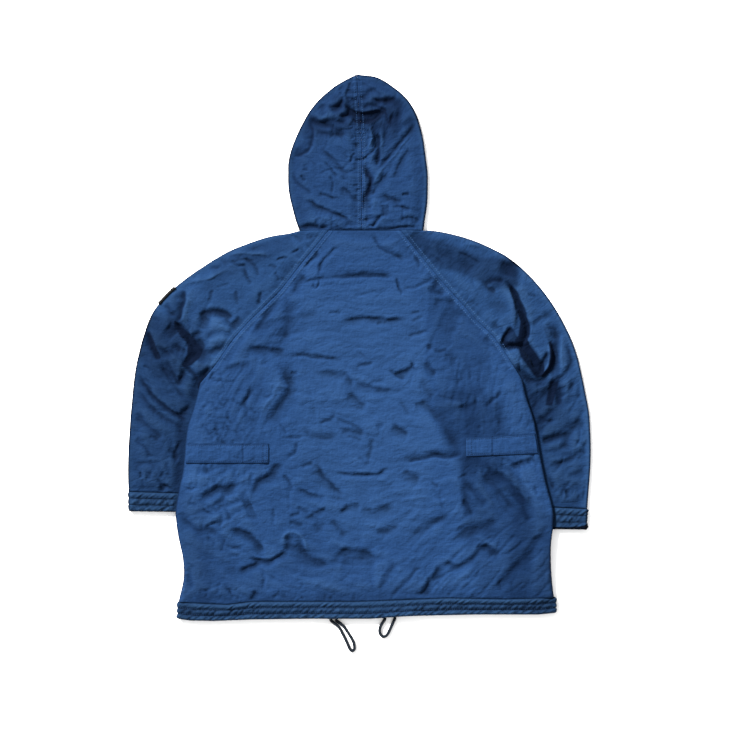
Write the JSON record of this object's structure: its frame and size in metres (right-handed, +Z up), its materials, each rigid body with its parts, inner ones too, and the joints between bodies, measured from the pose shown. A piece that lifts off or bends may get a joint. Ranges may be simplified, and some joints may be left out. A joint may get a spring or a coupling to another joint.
{
  "type": "hooded jacket",
  "caption": "Hooded padded jacket with raglan sleeves, quilted cuffs and hem band, gathered waist casings and hem drawcord loops, laid flat on its front.",
  "frame": {"origin": "middle of the jacket's box without the hem cords, on the floor that it lies on", "axes": "+Y from the hem to the hood, +Z up from the floor to the jacket's back, +X to the wearer's right"},
  "size_m": [0.9254, 1.1532, 0.0292],
  "materials": {
    "blue_cotton": "matt crumpled woven cotton",
    "blue_cotton_quilted": "matt woven cotton, quilted in rows",
    "black_tab": "matt black webbing",
    "navy_cord": "matt braided cord"
  },
  "bodies": {
    "root": {"back_body": "blue_cotton", "front_left": "blue_cotton", "front_right": "blue_cotton", "front_placket": "blue_cotton", "sleeve_left": "blue_cotton", "sleeve_right": "blue_cotton", "hood_left": "blue_cotton", "hood_right": "blue_cotton", "waist_casing_left": "blue_cotton", "waist_casing_right": "blue_cotton", "cuff_left": "blue_cotton_quilted", "cuff_right": "blue_cotton_quilted", "hem_band": "blue_cotton_quilted", "sleeve_tab": "black_tab", "hem_cord_left": "navy_cord", "hem_cord_right": "navy_cord"}
  },
  "joints": []
}
